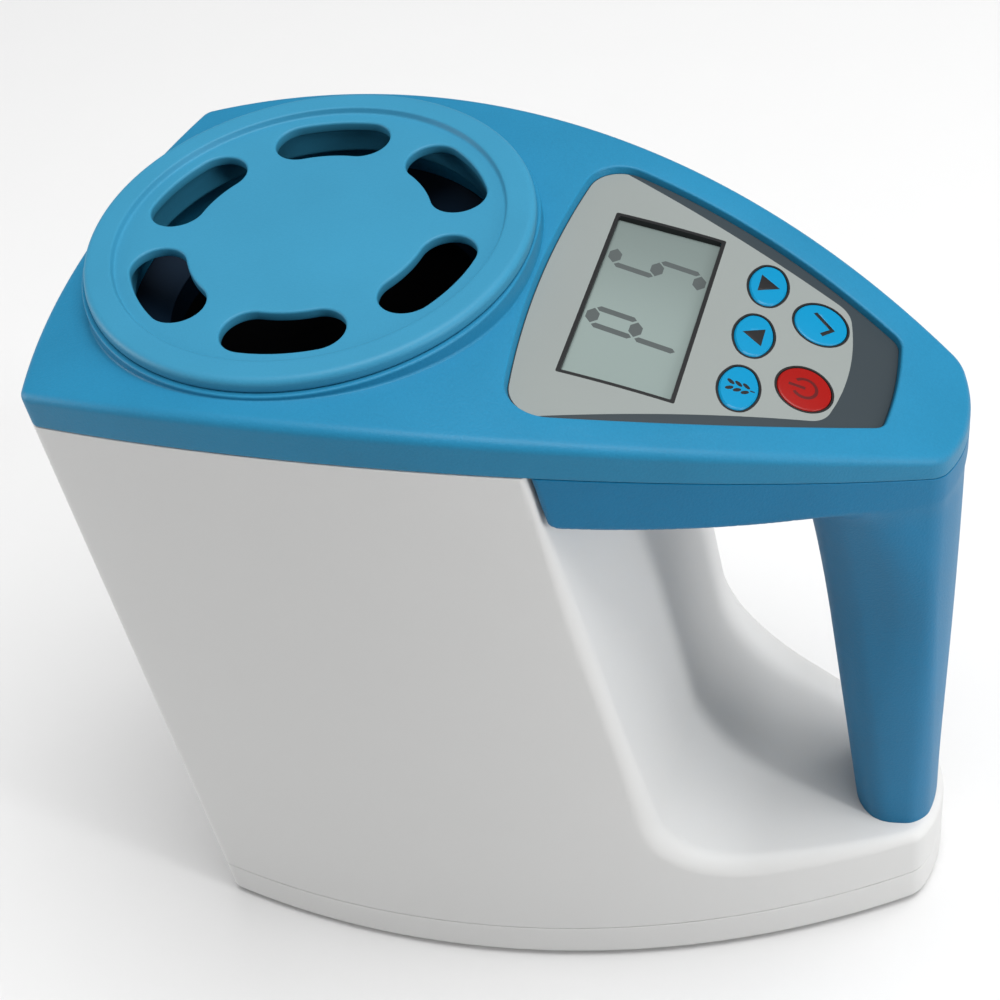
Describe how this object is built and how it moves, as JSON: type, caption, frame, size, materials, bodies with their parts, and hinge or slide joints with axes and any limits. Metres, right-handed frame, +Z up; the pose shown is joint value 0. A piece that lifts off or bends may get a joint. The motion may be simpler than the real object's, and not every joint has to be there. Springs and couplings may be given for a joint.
{
  "type": "grain moisture meter",
  "caption": "Upright bench instrument with a boat-shaped body, slotted lift-off lid over a deep sample cup, sloping key panel with a display, and an open grip at the handle end.",
  "frame": {"origin": "middle of the footprint, on the surface the feet stand on", "axes": "+Z up, +X towards the handle end, Y across the body; Y = 0 is the plane of symmetry of the housing"},
  "size_m": [0.21, 0.12, 0.2145],
  "materials": {
    "shell_white": "fine satin texture",
    "cover_blue": "fine satin texture",
    "lid_blue": "fine satin texture",
    "grip_blue": "fine satin texture",
    "black_plastic": "moulded, satin",
    "rubber_black": "matt",
    "panel_grey": "printed polyester film, satin",
    "window_clear": "clear window",
    "lcd": "display cell",
    "key_blue": "satin cap",
    "key_red": "satin cap",
    "steel": "machined",
    "load_cell_alloy": "milled",
    "board_green": "solder mask",
    "chip_black": "moulded",
    "spacer_brass": "turned",
    "insulator_white": "moulded",
    "cell_case": "printed sleeve"
  },
  "bodies": {
    "housing": {"base_tray": "shell_white", "foot_pads": "rubber_black", "body_shell": "shell_white", "top_cover": "cover_blue", "throat_funnel": "cover_blue", "grip": "grip_blue", "cup_tube": "black_plastic", "cup_floor": "black_plastic", "cup_gasket": "rubber_black", "outer_electrode": "steel", "centre_electrode": "steel", "electrode_cap": "black_plastic", "electrode_insulator": "insulator_white", "temperature_probe": "steel", "cup_bracket": "load_cell_alloy", "load_cell": "load_cell_alloy", "load_cell_riser": "load_cell_alloy", "load_cell_screws": "steel", "main_board": "board_green", "board_chips": "chip_black", "board_spacers": "spacer_brass", "board_screws": "steel", "display_board": "board_green", "lcd_glass": "lcd", "lcd_holder": "black_plastic", "display_window": "window_clear", "panel_overlay": "panel_grey", "tact_switches": "chip_black", "buzzer": "chip_black", "battery_holder": "black_plastic", "battery_cells": "cell_case", "battery_contacts": "steel", "battery_springs": "steel", "cover_screws": "steel", "base_screws": "steel", "grip_screws": "steel"},
    "lid": {"lid": "lid_blue"},
    "key_up": {"key_up": "key_blue"},
    "key_down": {"key_down": "key_blue"},
    "key_mode": {"key_mode": "key_blue"},
    "key_ok": {"key_ok": "key_blue"},
    "key_power": {"key_power": "key_red"},
    "battery_door": {"battery_door": "shell_white"}
  },
  "joints": [
    {"name": "lid_lift", "type": "slide", "parent": "housing", "child": "lid", "axis": [0, 0, 1], "range_m": [0, 0.06]},
    {"name": "key_up_press", "type": "slide", "parent": "housing", "child": "key_up", "axis": [-0.3108, 0, -0.9505], "range_m": [0, 0.0006], "stiffness_N_per_m": 1500},
    {"name": "key_down_press", "type": "slide", "parent": "housing", "child": "key_down", "axis": [-0.3108, 0, -0.9505], "range_m": [0, 0.0006], "stiffness_N_per_m": 1500},
    {"name": "key_mode_press", "type": "slide", "parent": "housing", "child": "key_mode", "axis": [-0.3108, 0, -0.9505], "range_m": [0, 0.0006], "stiffness_N_per_m": 1500},
    {"name": "key_ok_press", "type": "slide", "parent": "housing", "child": "key_ok", "axis": [-0.3522, 0, -0.9359], "range_m": [0, 0.0006], "stiffness_N_per_m": 1500},
    {"name": "key_power_press", "type": "slide", "parent": "housing", "child": "key_power", "axis": [-0.3522, 0, -0.9359], "range_m": [0, 0.0006], "stiffness_N_per_m": 1500},
    {"name": "battery_door_slide", "type": "slide", "parent": "housing", "child": "battery_door", "axis": [0, 1, 0], "range_m": [0, 0.06]}
  ]
}
